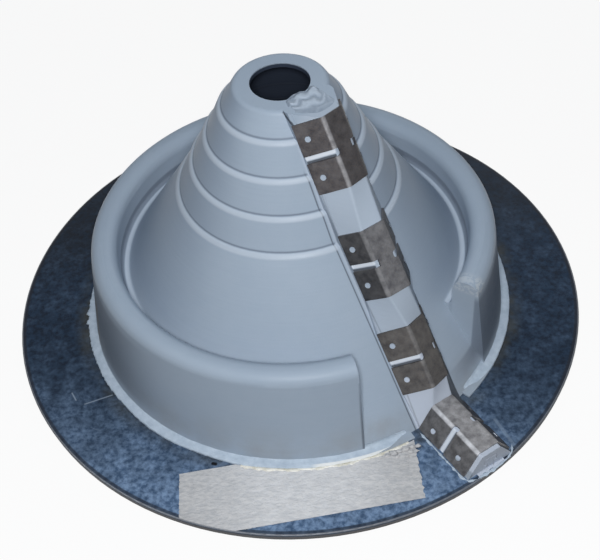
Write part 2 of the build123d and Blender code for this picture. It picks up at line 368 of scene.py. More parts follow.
# %% The rubber's own tone, its flow lines and the dust at its foot
rubber, tree, shader, at = start_material("moulded_rubber")
broad = effect(tree, clouds, at.place, Size=0.055, Contrast=0.8)
patchy = effect(tree, clouds, at.place, Size=0.007, Contrast=0.8)
level_flow = effect(tree, flow, at.place, Height=0.0013, Length=0.03)
fine = effect(tree, grain, at.place, Size=0.0007)
tone = mix_colour(tree, broad, RUBBER_DEEP, RUBBER_PALE)
tone = paint(tree, tone, patchy, 0.25, PALE_CLOUDS)
tone = paint(tree, tone, level_flow, 0.10, FLOW_LINES)
at_foot = times(tree, before(tree, at.z, 8, 34), past(tree, at.radius, 98, 104))
dusty = times(tree, at_foot, effect(tree, clouds, at.place, Size=0.02, Contrast=1.4))
tone = paint(tree, tone, dusty, 0.30, BROWN_DUST)

# %% Painted shade on the fold's outer wall at its two sides, deeper at the right
side_share = past(tree, math_node(tree, "ABSOLUTE", at.x), 66, 102)
on_wall = times(tree, past(tree, at.radius, 101.2, 102.4), band(tree, at.z, 6, 14, 48, 53.5))
wall_shade = times(tree, side_share, on_wall)
tone = paint(tree, tone, wall_shade, 0.62, WALL_SHADE)
right_wall = times(tree, wall_shade, past(tree, at.x, 0, 50))
tone = paint(tree, tone, right_wall, 0.55, RIGHT_WALL_SHADE)

# %% Painted shade on the cone's two sides, darker and bluer than its front
sideways = either(tree, turned_to(tree, (1, 0, 0), 0.45, 0.84), turned_to(tree, (-1, 0, 0), 0.45, 0.84))
sideways = times(tree, sideways, before(tree, at.radius, 80, 88))
tone = paint(tree, tone, sideways, 0.30, SIDE_SHADE)

# %% Between cone and fold the valley gets a painted highlight, with painted shade at the wall
OPEN_WAY = (0.574, -0.819)
round_front = math_node(tree, "DIVIDE", along(tree, at.x, at.y, OPEN_WAY), at.radius)
folded = inverse(tree, between(tree, round_front, 0.925, 0.932))
in_valley = times(tree, folded, before(tree, at.z, 45.5, 47.0))
pale_strip = band(tree, at.radius, 85.8, 86.3, 88.0, 88.5)
dark_strip = band(tree, at.radius, 88.3, 88.8, 89.9, 90.6)
tone = paint(tree, tone, times(tree, pale_strip, in_valley), 0.5, VALLEY_HIGHLIGHT)
tone = paint(tree, tone, times(tree, dark_strip, in_valley), 0.6, VALLEY_SHADE)

# %% [markdown]
# ### The seam
# The seam runs in one straight line in plan and grows wider on its way down, so two distances say
# where a spot lies on it: how far down, and how far to the side. Its lips are stretched and paler
# than the cone. A painted shadow line follows their left foot, and what faces away from the light
# gets painted shade.

# %% Where the seam runs, in millimetres
SEAM_START = (17.4, -21.2)
SEAM_WAY = (0.523, -0.852)
SEAM_RIGHT = (0.852, 0.523, 0)
SEAM_LEFT = (-0.852, -0.523, 0)
LEFT_EDGE = 15.5
LEFT_GROWTH = -0.075
RIGHT_EDGE = 11.8
RIGHT_GROWTH = 0.093
from_start_x = minus(tree, at.x, SEAM_START[0] * MM)
from_start_y = minus(tree, at.y, SEAM_START[1] * MM)
off_seam = along(tree, from_start_x, from_start_y, SEAM_RIGHT)
down_seam = along(tree, from_start_x, from_start_y, SEAM_WAY)
from_left_edge = plus(tree, times(tree, down_seam, LEFT_GROWTH), plus(tree, off_seam, LEFT_EDGE * MM))
right_edge = plus(tree, times(tree, down_seam, RIGHT_GROWTH), RIGHT_EDGE * MM)
from_right_edge = minus(tree, right_edge, off_seam)

# %% Pale lips, palest low down
on_seam = times(tree, past(tree, from_left_edge, -0.3, 0.6), past(tree, from_right_edge, -0.3, 0.6))
on_seam = times(tree, on_seam, past(tree, down_seam, -2, 3))
tone = paint(tree, tone, on_seam, 0.38, LIP_PALE)
low_seam = times(tree, on_seam, past(tree, down_seam, 60, 74))
tone = paint(tree, tone, low_seam, 0.6, LIP_STRETCHED)

# %% Painted shade on the walls of the studs on the far flank, and on the far side by the ring
stud_walls = times(tree, inverse(tree, turned_to(tree, SEAM_RIGHT, 0.50, 0.70)), past(tree, down_seam, 2, 6))
stud_walls = times(tree, stud_walls, band(tree, from_right_edge, -0.8, -0.2, 5.6, 6.2))
tone = paint(tree, tone, stud_walls, 0.90, STUD_SHADE)
far_side = times(tree, turned_to(tree, SEAM_RIGHT, 0.35, 0.55), past(tree, down_seam, 68, 76))
far_side = times(tree, far_side, before(tree, math_node(tree, "ABSOLUTE", off_seam), 20, 23))
tone = paint(tree, tone, far_side, 0.85, FAR_SHADE)

# %% Two thin painted shadow lines beside the lips' left foot
LIP_SHADOW_LINES = ((-1.4, -0.2, 0.75), (1.0, 1.8, 0.35))
on_cone_seam = band(tree, down_seam, 6, 9, 84, 87)
for near, far, share in LIP_SHADOW_LINES:
    middle = (near + far) / 2
    lip_shadow = times(tree, band(tree, from_left_edge, near, middle, middle, far), on_cone_seam)
    tone = paint(tree, tone, lip_shadow, share, LIP_SHADOW)

# %% Painted light and shade in the clips' slots: foot, fold, and the way down the seam there
DOWN_CONE = (0.316, -0.426, -0.848)
DOWN_RING = (0.499, -0.867, 0.0)
SLOT_LINES = (
    ((9.3, -34.3, 129.25), (21.35, -36.5, 134.3), DOWN_CONE),
    ((26.55, -57.35, 81.15), (35.8, -61.3, 86.6), DOWN_CONE),
    ((41.85, -80.55, 36.95), (54.45, -82.2, 42.5), DOWN_CONE),
    ((62.8, -110.75, 4.8), (68.9, -107.25, 15.2), DOWN_RING),
)
SLOT_EDGES = ((-0.55, 1.3, 1.0, SLOT_LIT), (1.35, 1.0, 0.85, SLOT_SHADE))
for foot, fold, down in SLOT_LINES:
    for shift, width, share, colour in SLOT_EDGES:
        ends = [[v + shift * d for v, d in zip(end, down)] for end in (foot, fold)]
        tone = paint(tree, tone, line_mark(tree, at.place, *ends, width), share, colour)

# %% [markdown]
# ### Single marks
# Some marks are there only once: a dark line beside the seam's top, painted shadow in the corner of
# the fold's front end, a painted warm reflection low at the left, a rubbed and speckled spot on the
# fold's right end, and a scuff on the cone. Each lies along a line between two measured points.

# %% Dark line, painted corner shadow, painted warm reflection: start, end, width, share, colour
RUBBER_MARKS = (
    ((0.6, -22.4, 148.0), (3.8, -27.6, 144.4), 1.2, 0.85, STUD_SHADE),
    ((25.9, -106.5, 5.0), (24.4, -100.0, 50.0), 1.5, 0.72, FOLD_CORNER_SHADE),
    ((-105.5, -22.5, 10.0), (-102.0, -21.5, 33.0), 7.0, 0.5, WARM_REFLECTION),
)
for start, end, width, share, colour in RUBBER_MARKS:
    tone = paint(tree, tone, line_mark(tree, at.place, start, end, width), share, colour)

# %% Rubbed spot at the fold's right end
speckles = effect(tree, clouds, at.place, Size=0.0022, Contrast=2.4)
rubbed_end = line_mark(tree, at.place, (80.1, -49.1, 56.0), (87.8, -53.8, 55.5), 6.5)
rubbed_end = times(tree, rubbed_end, between(tree, speckles, 0.30, 0.60))
rubbed_end = times(tree, rubbed_end, past(tree, at.z, 51.5, 54.0))
tone = paint(tree, tone, rubbed_end, 0.50, RUBBED_SPOT)
dots = line_mark(tree, at.place, (82.5, -48.5, 56.5), (86.5, -50.5, 56.0), 3.0)
dots = times(tree, dots, inverse(tree, between(tree, speckles, 0.10, 0.24)))
tone = paint(tree, tone, dots, 0.60, DARK_DOTS)

# %% Scuff on the cone, and painted shade on the edge of the flange under the ring
scuff = either(
    tree,
    line_mark(tree, at.place, (-61.5, 16.5, 76.0), (-61.9, 7.5, 75.0), 0.8),
    line_mark(tree, at.place, (-61.9, 7.5, 75.0), (-62.6, -4.0, 74.5), 0.7),
)
scuff = times(tree, scuff, effect(tree, clouds, at.place, Size=0.003, Contrast=2.0))
tone = paint(tree, tone, scuff, 0.8, SCUFF_DARK)
under_ring_shade = times(tree, before(tree, at.z, 2.8, 3.1), past(tree, at.radius, 148, 149))
tone = paint(tree, tone, under_ring_shade, 0.92, FLANGE_EDGE_SHADE)

# %% [markdown]
# ### Steps and inside
# The steps repeat at one rise, so the fraction of a rise tells where on a step a spot lies. The
# crease over each ledge gets painted shade, and the ledge and its edge a painted highlight. The
# inside follows the same steps one wall further in, and gets dark painted shade.

# %% The steps
LOWEST_LEDGE = 89.4
STEP_RISE = 15.6
STEP_RUN = 8.3
FIRST_CREASE_RADIUS = 28.3
FIRST_CREASE_HEIGHT = TOP / MM - 10.7
print("ledges at", [round(LOWEST_LEDGE + k * STEP_RISE, 1) for k in range(4)], "mm")

# Painted shade in each crease, and a painted highlight on each ledge and its edge.
on_steps = times(tree, band(tree, at.z, 87, 88, 139, 140), before(tree, at.radius, 58, 59))
on_steps = times(tree, on_steps, inverse(tree, on_seam))
up_the_step = math_node(tree, "DIVIDE", minus(tree, at.z, LOWEST_LEDGE * MM), STEP_RISE * MM)
up_the_step = math_node(tree, "FRACT", up_the_step)
under_crease = inverse(tree, between(tree, up_the_step, 0.085, 0.140))
crease = times(tree, between(tree, up_the_step, 0.055, 0.080), under_crease)
on_ledge = inverse(tree, between(tree, up_the_step, 0.045, 0.065))
over_edge = between(tree, up_the_step, 0.90, 0.97)
tone = paint(tree, tone, times(tree, either(tree, on_ledge, over_edge), on_steps), 0.55, LEDGE_HIGHLIGHT)
tone = paint(tree, tone, times(tree, crease, on_steps), 0.62, CREASE_SHADE)

# %% Painted shade under the wall and in the hole
crease_fall = times(tree, minus(tree, at.radius, FIRST_CREASE_RADIUS * MM), STEP_RISE / STEP_RUN)
crease_line = minus(tree, FIRST_CREASE_HEIGHT * MM, crease_fall)
below_face = minus(tree, at.z, math_node(tree, "MINIMUM", crease_line, TOP))
under_wall = times(tree, before(tree, below_face, -2.4, -1.0), past(tree, at.z, 60, 85))
below_top = minus(tree, TOP, at.z)
in_hole = times(tree, past(tree, below_top, 0.2, 0.9), before(tree, at.radius, 14.18, 14.50))
tone = paint(tree, tone, either(tree, under_wall, in_hole), 0.95, INSIDE_SHADE)

# %% The rubber's sheen and relief
tree.links.new(tone, shader.inputs["Base Color"])
tree.links.new(spread(tree, patchy, 0.34, 0.48), shader.inputs["Roughness"])
shader.inputs["Specular IOR Level"].default_value = 0.12
bump(tree, shader, plus(tree, times(tree, level_flow, 0.6), times(tree, fine, 0.4)), 0.16, 0.0003)

# %% [markdown]
# ## Thin rubber skin
# Where rubber squeezed out of the mould it is thin and stretched, and that makes it paler than the
# body of the boot. At the front its edge has a near-white painted highlight. Torn rubber at the
# hole has painted shade low in its wrinkles, and near-black painted shade where it hangs into the
# hole.

# %% Skin finish
rubber_skin, tree, shader, at = start_material("thin_rubber_skin")
patchy = effect(tree, clouds, at.place, Size=0.004, Contrast=1.2)
fine = effect(tree, grain, at.place, Size=0.0009)
tone = mix_colour(tree, patchy, (0.370, 0.450, 0.545), (0.490, 0.575, 0.670))
# A near-white painted highlight along the skin's outer edge at the front.
edge_highlight = times(tree, past(tree, at.radius, 112.2, 112.8), band(tree, at.x, -2, 4, 44, 50))
edge_highlight = times(tree, edge_highlight, past(tree, at.y, -60, -80))
tone = paint(tree, tone, edge_highlight, 0.7, (0.860, 0.860, 0.830))
tree.links.new(tone, shader.inputs["Base Color"])
shader.inputs["Roughness"].default_value = 0.45
shader.inputs["Specular IOR Level"].default_value = 0.15
bump(tree, shader, plus(tree, patchy, fine), 0.3, 0.0004)

# %% Torn rubber finish
torn_rubber, tree, shader, at = start_material("torn_rubber")
patchy = effect(tree, clouds, at.place, Size=0.0035, Contrast=1.3)
over_top = minus(tree, at.z, TOP)
crest = past(tree, over_top, 0.95, 1.50)
# Painted shade: dark low in the wrinkles, paler on the crests, near black below the hole's top
tone = mix_colour(tree, crest, (0.225, 0.275, 0.345), (0.430, 0.500, 0.590))
tone = paint(tree, tone, patchy, 0.4, (0.360, 0.420, 0.500))
tone = paint(tree, tone, before(tree, over_top, -0.6, 0.1), 0.9, (0.030, 0.036, 0.046))
tree.links.new(tone, shader.inputs["Base Color"])
shader.inputs["Roughness"].default_value = 0.42
shader.inputs["Specular IOR Level"].default_value = 0.15
bump(tree, shader, patchy, 0.3, 0.0003)

# %% [markdown]
# ## Coated soft sheet
# The ring is soft metal with a thin dark coat. The coat is mottled like frost on a window, in
# flecks of a few millimetres, and wiped in clouds. Towards the front a painted reflection makes it
# paler, where scuffs and hair scratches cross it, and painted shade makes it nearly black at the
# back. Along the rim runs painted shade, and the corner of the cut edge has a painted highlight.

# %% The coat, mottled dark and pale, with a painted reflection in front and painted shade behind
ring_coat, tree, shader, at = start_material("coated_sheet")
flecks = effect(tree, clouds, at.place, Size=0.0026, Contrast=1.7)
drift = effect(tree, clouds, at.place, Size=0.022, Contrast=1.3)
fine = effect(tree, grain, at.place, Size=0.0009)
wipes = effect(tree, clouds, at.place, Size=0.0085, Contrast=1.6)
# A painted reflection makes the coat paler towards the front.
far_right = either(tree, minus(tree, at.x, 70 * MM), 0.0)
front_way = plus(tree, at.y, times(tree, far_right, 0.6))
front_reflection = past(tree, front_way, -10, -135)
frost_and_reflection = plus(tree, times(tree, front_reflection, 0.76), times(tree, drift, 0.17), clamp=True)
frost_and_reflection = plus(tree, frost_and_reflection, times(tree, minus(tree, wipes, 0.2), 0.24), clamp=True)
dark = mix_colour(tree, flecks, (0.0040, 0.0092, 0.0200), (0.0120, 0.0265, 0.0520))
pale = mix_colour(tree, flecks, (0.056, 0.100, 0.180), (0.196, 0.290, 0.440))
tone = mix_colour(tree, math_node(tree, "POWER", frost_and_reflection, 1.6), dark, pale)
smudge = effect(tree, clouds, at.place, Size=0.012, Contrast=1.5)
tone = paint(tree, tone, times(tree, before(tree, at.radius, 114, 123), smudge), 0.55, (0.060, 0.058, 0.042))
# Painted shade makes the back of the ring nearly black.
tone = paint(tree, tone, past(tree, at.y, 10, 70), 0.55, (0.0060, 0.0072, 0.0090))

# %% Scratches, a faint painted reflection line beside the lowest clip, and a pit
scored = either(
    tree,
    line_mark(tree, at.place, (-112.4, -63.4, 4.4), (-98.8, -59.1, 4.4), 0.5),
    line_mark(tree, at.place, (-119.5, -55.6, 4.4), (-117.2, -60.4, 4.4), 0.5),
)
hairs = effect(tree, scratch, at.place, Length=0.022, Turn=0.5, Rarity=0.80)
tone = paint(tree, tone, either(tree, scored, times(tree, hairs, 0.5)), 0.6, (0.260, 0.320, 0.400))
reflection_line = line_mark(tree, at.place, (91.1, -94.7, 4.4), (98.1, -112.0, 4.4), 1.2)
tone = paint(tree, tone, reflection_line, 0.35, (0.200, 0.260, 0.340))
pit = line_mark(tree, at.place, (-47.8, -106.2, 4.4), (-46.6, -106.6, 4.4), 1.4)
tone = mix_colour(tree, pit, tone, (0.008, 0.008, 0.010))

# %% Painted rim shade, a painted highlight on the cut edge's corner, the coat's sheen and relief
tone = paint(tree, tone, past(tree, at.radius, 147.3, 148.0), 0.75, (0.014, 0.016, 0.022))
rim_highlight = times(tree, past(tree, at.radius, 149.0, 149.4), past(tree, at.z, 3.8, 4.1))
tone = paint(tree, tone, rim_highlight, 0.55, (0.230, 0.240, 0.260))
tree.links.new(tone, shader.inputs["Base Color"])
tree.links.new(spread(tree, flecks, 0.42, 0.56), shader.inputs["Roughness"])
shader.inputs["Metallic"].default_value = 0.35
shader.inputs["Specular IOR Level"].default_value = 0.12
bump(tree, shader, plus(tree, times(tree, fine, 0.5), drift), 0.18, 0.0004)

# %% [markdown]
# ## Folded steel
# The clips are plain folded steel with a dark brown-grey skin. It is blotchy at the scale of a few
# millimetres and finely pitted. The four differ in tone, in the painted light and shade on the web
# and the left flank, and in how strong a painted highlight their left fold has. The far flank gets
# painted shade.

# %% Steel finish
PIT_BROWN = (0.120, 0.098, 0.078)
FAR_FLANK_SHADE = (0.22, 0.22, 0.24)
FOLD_HIGHLIGHT = (0.560, 0.570, 0.600)
FOLD_WIDTH = 1.5


def steel_finish(name, dark, pale, brown, web_painted_light, flank_painted_light, fold, highlight_share):
    """Steel from two tones, the share of brown, painted light on web and flank, and the fold's highlight."""
    material, tree, shader, at = start_material(name)
    blotch = effect(tree, clouds, at.place, Size=0.0042, Contrast=1.5)
    pits = effect(tree, grain, at.place, Size=0.0008)
    tone = mix_colour(tree, blotch, dark, pale)
    tone = paint(tree, tone, pits, brown, PIT_BROWN)
    # Painted light and shade by the way a face turns: web, left flank, and the darker far flank.
    painted_face_light = mix_colour(tree, turned_to(tree, SEAM_LEFT, 0.15, 0.35), (web_painted_light,) * 3, (flank_painted_light,) * 3)
    painted_face_light = mix_colour(tree, turned_to(tree, SEAM_RIGHT, 0.45, 0.70), painted_face_light, FAR_FLANK_SHADE)
    tone = mix_colour(tree, 1.0, tone, painted_face_light, "MULTIPLY")
    # A blotchy painted highlight along the left fold.
    patches = plus(tree, times(tree, blotch, 0.5), 0.6)
    fold_highlight_mask = times(tree, line_mark(tree, at.place, *fold, FOLD_WIDTH), patches)
    tone = mix_colour(tree, times(tree, fold_highlight_mask, highlight_share, clamp=True), tone, FOLD_HIGHLIGHT)
    tree.links.new(tone, shader.inputs["Base Color"])
    tree.links.new(spread(tree, blotch, 0.36, 0.55), shader.inputs["Roughness"])
    shader.inputs["Metallic"].default_value = 0.4
    shader.inputs["Specular IOR Level"].default_value = 0.2
    bump(tree, shader, plus(tree, pits, blotch), 0.35, 0.0002)
    return material


# %% The four clips
CLIP_LOOKS = {
    "top": {
        "dark": (0.036, 0.036, 0.044), "pale": (0.088, 0.086, 0.094), "brown": 0.35, "web_painted_light": 0.80,
        "flank_painted_light": 1.08, "fold": ((17.3, -30.1, 149.9), (27.3, -43.7, 119.8)), "highlight_share": 0.32,
    },
    "upper": {
        "dark": (0.050, 0.053, 0.062), "pale": (0.112, 0.115, 0.124), "brown": 0.20, "web_painted_light": 1.40,
        "flank_painted_light": 0.68, "fold": ((31.0, -54.6, 101.8), (41.9, -69.4, 72.6)), "highlight_share": 0.22,
    },
    "lower": {
        "dark": (0.045, 0.046, 0.051), "pale": (0.102, 0.100, 0.100), "brown": 0.35, "web_painted_light": 1.00,
        "flank_painted_light": 1.22, "fold": ((50.0, -75.2, 57.7), (60.9, -90.0, 28.4)), "highlight_share": 0.10,
    },
    "base": {
        "dark": (0.082, 0.083, 0.090), "pale": (0.195, 0.196, 0.204), "brown": 0.22, "web_painted_light": 1.70,
        "flank_painted_light": 0.90, "fold": ((60.6, -92.2, 16.4), (77.8, -122.0, 16.4)), "highlight_share": 0.95,
    },
}
clip_finishes = {}
for name, look in CLIP_LOOKS.items():
    clip_finishes[f"seam_clip_{name}"] = steel_finish(f"steel_{name}", **look)

# %% [markdown]
# ## Fibrous tape and old glue
# A strip of pale tape lies on the front of the ring. It is matted from short fibres, stained in
# patches, and has a line of pale glue along its upper edge. The fibres are the shared clouds on a
# place that is squeezed across the strip, so that they lie along it.

# %% Tape finish
ACROSS_SQUEEZE = (1.0, 1.7, 1.0)
tape, tree, shader, at = start_material("pale_tape")
squeezed = vector_node(tree, "MULTIPLY", at.place, ACROSS_SQUEEZE)
stain = effect(tree, clouds, at.place, Size=0.012, Contrast=1.1)
fibres = effect(tree, clouds, squeezed, Size=0.0058, Contrast=2.2)
fine_fibres = effect(tree, clouds, squeezed, Size=0.0027, Contrast=2.0)
off_middle = math_node(tree, "ABSOLUTE", plus(tree, at.x, 6 * MM))
tone = mix_colour(tree, stain, (0.375, 0.378, 0.388), (0.480, 0.485, 0.498))
tone = paint(tree, tone, before(tree, off_middle, 12, 56), 0.75, (0.690, 0.700, 0.722))
tone = paint(tree, tone, fibres, 0.36, (0.370, 0.385, 0.410))
tone = paint(tree, tone, fine_fibres, 0.34, (0.700, 0.682, 0.665))
tree.links.new(tone, shader.inputs["Base Color"])
shader.inputs["Roughness"].default_value = 0.75
bump(tree, shader, plus(tree, fine_fibres, fibres), 0.5, 0.0003)

# %% Glue finish
glue, tree, shader, at = start_material("old_glue")
blots = effect(tree, clouds, at.place, Size=0.004, Contrast=1.4)
tone = mix_colour(tree, blots, (0.500, 0.480, 0.390), (0.800, 0.790, 0.740))
tree.links.new(tone, shader.inputs["Base Color"])
shader.inputs["Roughness"].default_value = 0.4
bump(tree, shader, blots, 0.4, 0.0004)

# %% [markdown]
# ## Dress the measured solids
# The solids already have the right shapes, so they stay, and only their material slots change.

# %% Finishes on the solids
for name, node in frame["nodes"].items():
    finish = rubber if name == "boot" else ring_coat if name == "base_ring" else clip_finishes[name]
    node.data.materials.clear()
    node.data.materials.append(finish)
    print(name, "wears", finish.name, "with", len(node.data.polygons), "faces")

# %% [markdown]
# ## Making thin pieces
# The thin things are meshes made from points and faces. Most are either a section swept along a
# way, with an end at both sides, or a grid over a second grid, closed round their edge. Each one
# hangs on the model's only body.

# %% A piece of the model
def piece(name, points, faces, material, smooth=True):
    """A mesh object that rides on the model, with the given material."""
    mesh = bpy.data.meshes.new(name)
    mesh.from_pydata([tuple(p) for p in points], [], faces)
    mesh.update()
    for face in mesh.polygons:
        face.use_smooth = smooth
    made = bpy.data.objects.new(name, mesh)
    bpy.context.scene.collection.objects.link(made)
    mesh.materials.append(material)
    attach(made, "root")
    print(name, len(points), "points", len(faces), "faces")
    return made


# %% Points and faces of swept sections and of slabs
def on_ring(angle, section):
    """Points of a section, given as radius and height over the ring, at an angle from the front."""
    out = Vector((math.sin(angle), -math.cos(angle), 0))
    return [out * r + Vector((0, 0, RING_TOP + z)) for r, z in section]


def tube_faces(steps, row, start=0, turned_over=False):
    """Faces of a closed section of row points that was swept over steps, and of its two ends."""
    faces = []
    for first in range(start, start + steps * row, row):
        for k in range(row):
            a, b = first + k, first + (k + 1) % row
            faces.append((a, a + row, b + row, b) if turned_over else (a, b, b + row, a + row))
    last = start + steps * row
    return faces + [tuple(range(start, start + row)), tuple(range(last, last + row))[::-1]]


def slab_faces(rows, columns, size):
    """Faces of two grids of size points, one over the other, and of the band round their edge."""
    faces = []
    for i in range(columns):
        for j in range(rows):
            a = i * (rows + 1) + j
            faces.append((a, a + 1, a + rows + 2, a + rows + 1))
            b = a + size
            faces.append((b, b + rows + 1, b + rows + 2, b + 1))
    loop = list(range(rows + 1))
    loop += [i * (rows + 1) + rows for i in range(1, columns + 1)]
    loop += [columns * (rows + 1) + j for j in range(rows - 1, -1, -1)]
    loop += [i * (rows + 1) for i in range(columns - 1, 0, -1)]
    for k, a in enumerate(loop):
        b = loop[(k + 1) % len(loop)]
        faces.append((b, a, a + size, b + size))
    return faces


def wander(angle, size, seed):
    """Smooth noise that closes on itself round the part."""
    return noise.noise(Vector((math.sin(angle) * size, -math.cos(angle) * size, seed)))


def ripple(x, y, size, seed):
    """Smooth noise over the ring's plane, with a larger size for finer ripples."""
    return noise.noise(Vector((x * size, y * size, seed)))


# %% [markdown]
# ## Torn flash round the foot
# When the boot was moulded round the ring, a skin of rubber squeezed out over the metal. Its outer
# edge is ragged. It is a band swept round the foot, whose width and height wander with noise. It
# stops at the seam, where the clips stand, and is most ragged at the left.

# %% Flash band
FLASH_STEPS = 900
FLASH_FADE = 26
FLASH_START = math.radians(46.5)
FLASH_SWEEP = math.radians(360 + 25.5 - 46.5)
RAGGED_AZIMUTH = 278
RAGGED_REACH = 22
FOOT_RADIUS = 107.9 * MM
FLASH_RADIUS = 110.2

flash_points = []
for step in range(FLASH_STEPS + 1):
    angle = FLASH_START + FLASH_SWEEP * step / FLASH_STEPS
    ragged = 0.25 + 1.2 * math.exp(-(((math.degrees(angle) - RAGGED_AZIMUTH) / RAGGED_REACH) ** 2))
    teeth = ragged * (max(0.0, wander(angle, 34, 3.1)) * 1.3 + abs(wander(angle, 90, 7.7)) * 0.9)
    fade = min(1.0, min(step, FLASH_STEPS - step) / FLASH_FADE) ** 0.6
    outer = (FLASH_RADIUS + fade * (3.5 + 0.5 * wander(angle, 5, 1.3) + teeth)) * MM
    rise = (0.45 + fade * (0.8 + 0.2 * wander(angle, 12, 5.2))) * MM
    section = [
        (FOOT_RADIUS, 0.1 * MM), (FOOT_RADIUS, rise + 1.9 * MM), (109.4 * MM, rise + 0.55 * MM * fade),
        ((109.6 + 1.8 * fade) * MM, rise + 0.12 * MM * fade), (outer - 0.5 * MM * fade, rise - 0.05 * MM),
        (outer - 0.12 * MM, rise - 0.3 * MM * fade), (outer, 0.3 * MM), (outer + 0.05 * MM, 0.02 * MM),
    ]
    flash_points += on_ring(angle, section)
piece("foot_flash", flash_points, tube_faces(FLASH_STEPS, len(section)), rubber_skin)

# %% [markdown]
# ## Strip of tape
# The strip runs straight across the front of the ring. The ring's rim cuts off its lower left
# corner and the boot's foot covers its upper edge. It is a fine grid of points that follows
# these edges, with a frayed right end, and a second layer under it gives it a thickness.

# %% Tape strip
TAPE_THICKNESS = 0.3 * MM
TAPE_COLUMNS = 150
TAPE_ROWS = 36
TAPE_LEFT = -64.0
TAPE_LENGTH = 114.0
TAPE_SLOPE = 0.1
COVERED_RADIUS = 114.2
RIM_RADIUS = 149.6


def tape_top(x):
    """The upper edge: straight at the left end, then along the foot."""
    straight = -110.8 + (x + 63.5) * TAPE_SLOPE
    return min(straight, -math.sqrt(max(0.0, COVERED_RADIUS**2 - x * x)) if x > -40 else straight)


def tape_bottom(x):
    """The lower edge: on the rim at the left, then straight."""
    return max(-math.sqrt(RIM_RADIUS**2 - x * x), -144.6 + (x + 37.9) * 0.101)


tape_points = []
for layer in (1, 0):
    for i in range(TAPE_COLUMNS + 1):
        for j in range(TAPE_ROWS + 1):
            u, v = i / TAPE_COLUMNS, j / TAPE_ROWS
            fray = ripple(0, v, 31, 2.4) * 0.7 + ripple(0, v, 80, 9.1) * 0.5
            left_fray = noise.noise(Vector((3.0, v * 60, 5.1))) * 0.45
            x = TAPE_LEFT + left_fray * (1 - u) ** 12 + u * (TAPE_LENGTH + 1.2 * v + fray * u**8)
            y = tape_top(x) + (tape_bottom(x) - tape_top(x)) * v
            lift = 0.05 + 0.07 * (1 + ripple(x, y, 0.12, 4.0))
            tape_points.append(Vector((x * MM, y * MM, RING_TOP + lift * MM + layer * TAPE_THICKNESS)))
tape_faces = slab_faces(TAPE_ROWS, TAPE_COLUMNS, len(tape_points) // 2)
piece("tape_strip", tape_points, tape_faces, tape, smooth=False)

# %% [markdown]
# ## Glue line
# Old glue has squeezed out between the tape and the foot. It is a thin bead whose width and height
# change along it.

# %% Glue bead
GLUE_STEPS = 220
GLUE_START = -17.5
GLUE_SWEEP = 42.0
GLUE_RADIUS = 113.4 * MM

glue_points = []
for step in range(GLUE_STEPS + 1):
    angle = math.radians(GLUE_START + GLUE_SWEEP * step / GLUE_STEPS)
    swell = 0.5 + 0.5 * wander(angle, 20, 11.0) + 0.3 * wander(angle, 70, 12.0)
    width = max(0.4, 2.2 * swell + 0.7) * MM
    height = (0.42 + 0.35 * max(0.05, swell)) * MM
    section = [
        (GLUE_RADIUS, 0.1 * MM), (GLUE_RADIUS, height), (GLUE_RADIUS + width * 0.5, height),
        (GLUE_RADIUS + width, 0.38 * MM), (GLUE_RADIUS + width, 0.1 * MM),
    ]
    glue_points += on_ring(angle, section)
piece("glue_line", glue_points, tube_faces(GLUE_STEPS, len(section)), glue)

# %% [markdown]
# ## Skirt of rubber at the lowest clip
# A thin skin of rubber also came out along the foot of the lowest clip and round the end of the
# seam. It is a low bead swept along a few points on the ring, with a width that wanders.

# %% Low bead along points
BEAD_STEP = 0.8
BEAD_ENDS = 4


def low_bead(path, width, height, seed):
    """Points of a bead on the ring along a path in millimetres, tapering at its ends."""
    points = []
    corners = [Vector((x, y, 0)) for x, y in path]
    spots = []
    for a, b in zip(corners, corners[1:]):
        parts = max(2, int((b - a).length / BEAD_STEP))
        spots += [a.lerp(b, k / parts) for k in range(parts)]
    spots.append(corners[-1])
    for k, spot in enumerate(spots):
        way = (spots[min(k + 2, len(spots) - 1)] - spots[max(k - 2, 0)]).normalized()
        side = Vector((-way.y, way.x, 0))
        ends = min(1.0, (min(k, len(spots) - 1 - k) + 0.6) / BEAD_ENDS)
        half = width * ends * max(0.16, 0.42 + 0.9 * ripple(spot.x, spot.y, 0.45, seed))
        high = height * ends * (0.9 + 0.4 * ripple(spot.x, spot.y, 0.5, seed + 5))
        profile = [
            (-half, 0.02), (-half * 0.8, high * 0.6), (-half * 0.2, high),
            (half * 0.5, high * 0.85), (half, 0.02),
        ]
        for off, up in profile:
            points.append((spot + side * off) * MM + Vector((0, 0, RING_TOP + up * MM)))
    return points


# %% Skirt along the lowest clip and round its end: path, width, height and seed
BEAD_ROW = 5
SKIRT = (
    (
        [
            (53.6, -98.6), (56.2, -103.0), (62.2, -113.4), (66.8, -121.2), (69.8, -126.4),
            (72.6, -128.6), (77.0, -127.8),
        ],
        1.25, 0.6, 2.0,
    ),
    (
        [(77.2, -127.4), (82.6, -124.8), (88.6, -121.0), (93.4, -117.2), (95.9, -113.4), (96.4, -109.6)],
        1.35, 0.6, 6.0,
    ),
)
skirt_points, skirt_faces = [], []
for path, width, height, seed in SKIRT:
    bead = low_bead(path, width, height, seed)
    skirt_faces += tube_faces(len(bead) // BEAD_ROW - 1, BEAD_ROW, len(skirt_points), turned_over=True)
    skirt_points += bead
piece("clip_skirt", skirt_points, skirt_faces, rubber_skin)

# %% [markdown]
# ## Torn rubber at the hole
# Where the slit meets the pipe's hole the rubber was cut and pulled, and it hangs a little into the
# hole in wrinkles that follow the hole's edge. It is a grid between the hole and the seam's upper
# end, raised by waves, with a second layer under it so that it is closed.

